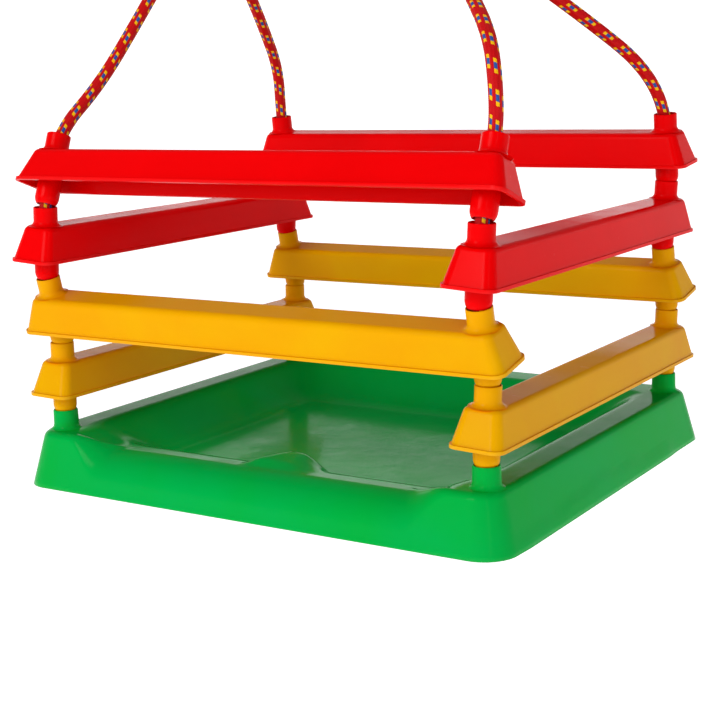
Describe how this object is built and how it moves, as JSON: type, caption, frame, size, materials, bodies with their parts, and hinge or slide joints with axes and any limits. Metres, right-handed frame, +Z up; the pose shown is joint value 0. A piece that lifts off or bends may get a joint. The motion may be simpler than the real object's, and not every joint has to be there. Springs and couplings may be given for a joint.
{
  "type": "toddler bucket swing",
  "caption": "Moulded toddler bucket swing: a hollow tray seat inside a cage of channel-section guard bars threaded on braided ropes that meet in knots at steel hanging rings.",
  "frame": {"origin": "on the axis that the swing swings about, the line through the lower wire of both hanging rings, above the middle of the seat", "axes": "+Z up, -Y to the front where the legs go over, +X to the right as seen from the front"},
  "size_m": [0.3821, 0.3431, 0.4675],
  "materials": {
    "seat_green": "glossy moulded",
    "bar_red": "glossy moulded",
    "bar_yellow": "glossy moulded",
    "rope": "braided",
    "ring_steel": "zinc plated"
  },
  "bodies": {
    "hangers": {"ring_left": "ring_steel", "ring_right": "ring_steel"},
    "swing": {"seat": "seat_green", "rope_front_left": "rope", "rope_back_left": "rope", "rope_front_right": "rope", "rope_back_right": "rope", "seat_knot_front_left": "rope", "seat_knot_back_left": "rope", "seat_knot_front_right": "rope", "seat_knot_back_right": "rope", "eye_knot_left": "rope", "eye_knot_right": "rope"},
    "red_front": {"red_front_bar": "bar_red"},
    "red_back": {"red_back_bar": "bar_red"},
    "red_left": {"red_left_bar": "bar_red"},
    "red_right": {"red_right_bar": "bar_red"},
    "yellow_front": {"yellow_front_bar": "bar_yellow"},
    "yellow_back": {"yellow_back_bar": "bar_yellow"},
    "yellow_left": {"yellow_left_bar": "bar_yellow"},
    "yellow_right": {"yellow_right_bar": "bar_yellow"}
  },
  "joints": [
    {"name": "swing_hinge", "type": "hinge", "parent": "hangers", "child": "swing", "pos_m": [0, 0, 0], "axis": [1, 0, 0], "range_deg": [-40, 40]},
    {"name": "red_front_lift", "type": "slide", "parent": "swing", "child": "red_front", "axis": [0, 0, 1], "range_m": [0, 0.028], "deforming": ["rope_front_left", "rope_back_left", "rope_front_right", "rope_back_right"]},
    {"name": "red_back_lift", "type": "slide", "parent": "swing", "child": "red_back", "axis": [0, 0, 1], "range_m": [0, 0.028]},
    {"name": "red_left_lift", "type": "slide", "parent": "swing", "child": "red_left", "axis": [0, 0, 1], "range_m": [0, 0.021]},
    {"name": "red_right_lift", "type": "slide", "parent": "swing", "child": "red_right", "axis": [0, 0, 1], "range_m": [0, 0.021]},
    {"name": "yellow_front_lift", "type": "slide", "parent": "swing", "child": "yellow_front", "axis": [0, 0, 1], "range_m": [0, 0.014]},
    {"name": "yellow_back_lift", "type": "slide", "parent": "swing", "child": "yellow_back", "axis": [0, 0, 1], "range_m": [0, 0.014]},
    {"name": "yellow_left_lift", "type": "slide", "parent": "swing", "child": "yellow_left", "axis": [0, 0, 1], "range_m": [0, 0.007]},
    {"name": "yellow_right_lift", "type": "slide", "parent": "swing", "child": "yellow_right", "axis": [0, 0, 1], "range_m": [0, 0.007]}
  ],
  "couplings": [
    {"joint": "red_back_lift", "follows": "red_front_lift", "ratio": 1},
    {"joint": "red_left_lift", "follows": "red_front_lift", "ratio": 0.75},
    {"joint": "red_right_lift", "follows": "red_front_lift", "ratio": 0.75},
    {"joint": "yellow_front_lift", "follows": "red_front_lift", "ratio": 0.5},
    {"joint": "yellow_back_lift", "follows": "red_front_lift", "ratio": 0.5},
    {"joint": "yellow_left_lift", "follows": "red_front_lift", "ratio": 0.25},
    {"joint": "yellow_right_lift", "follows": "red_front_lift", "ratio": 0.25}
  ]
}
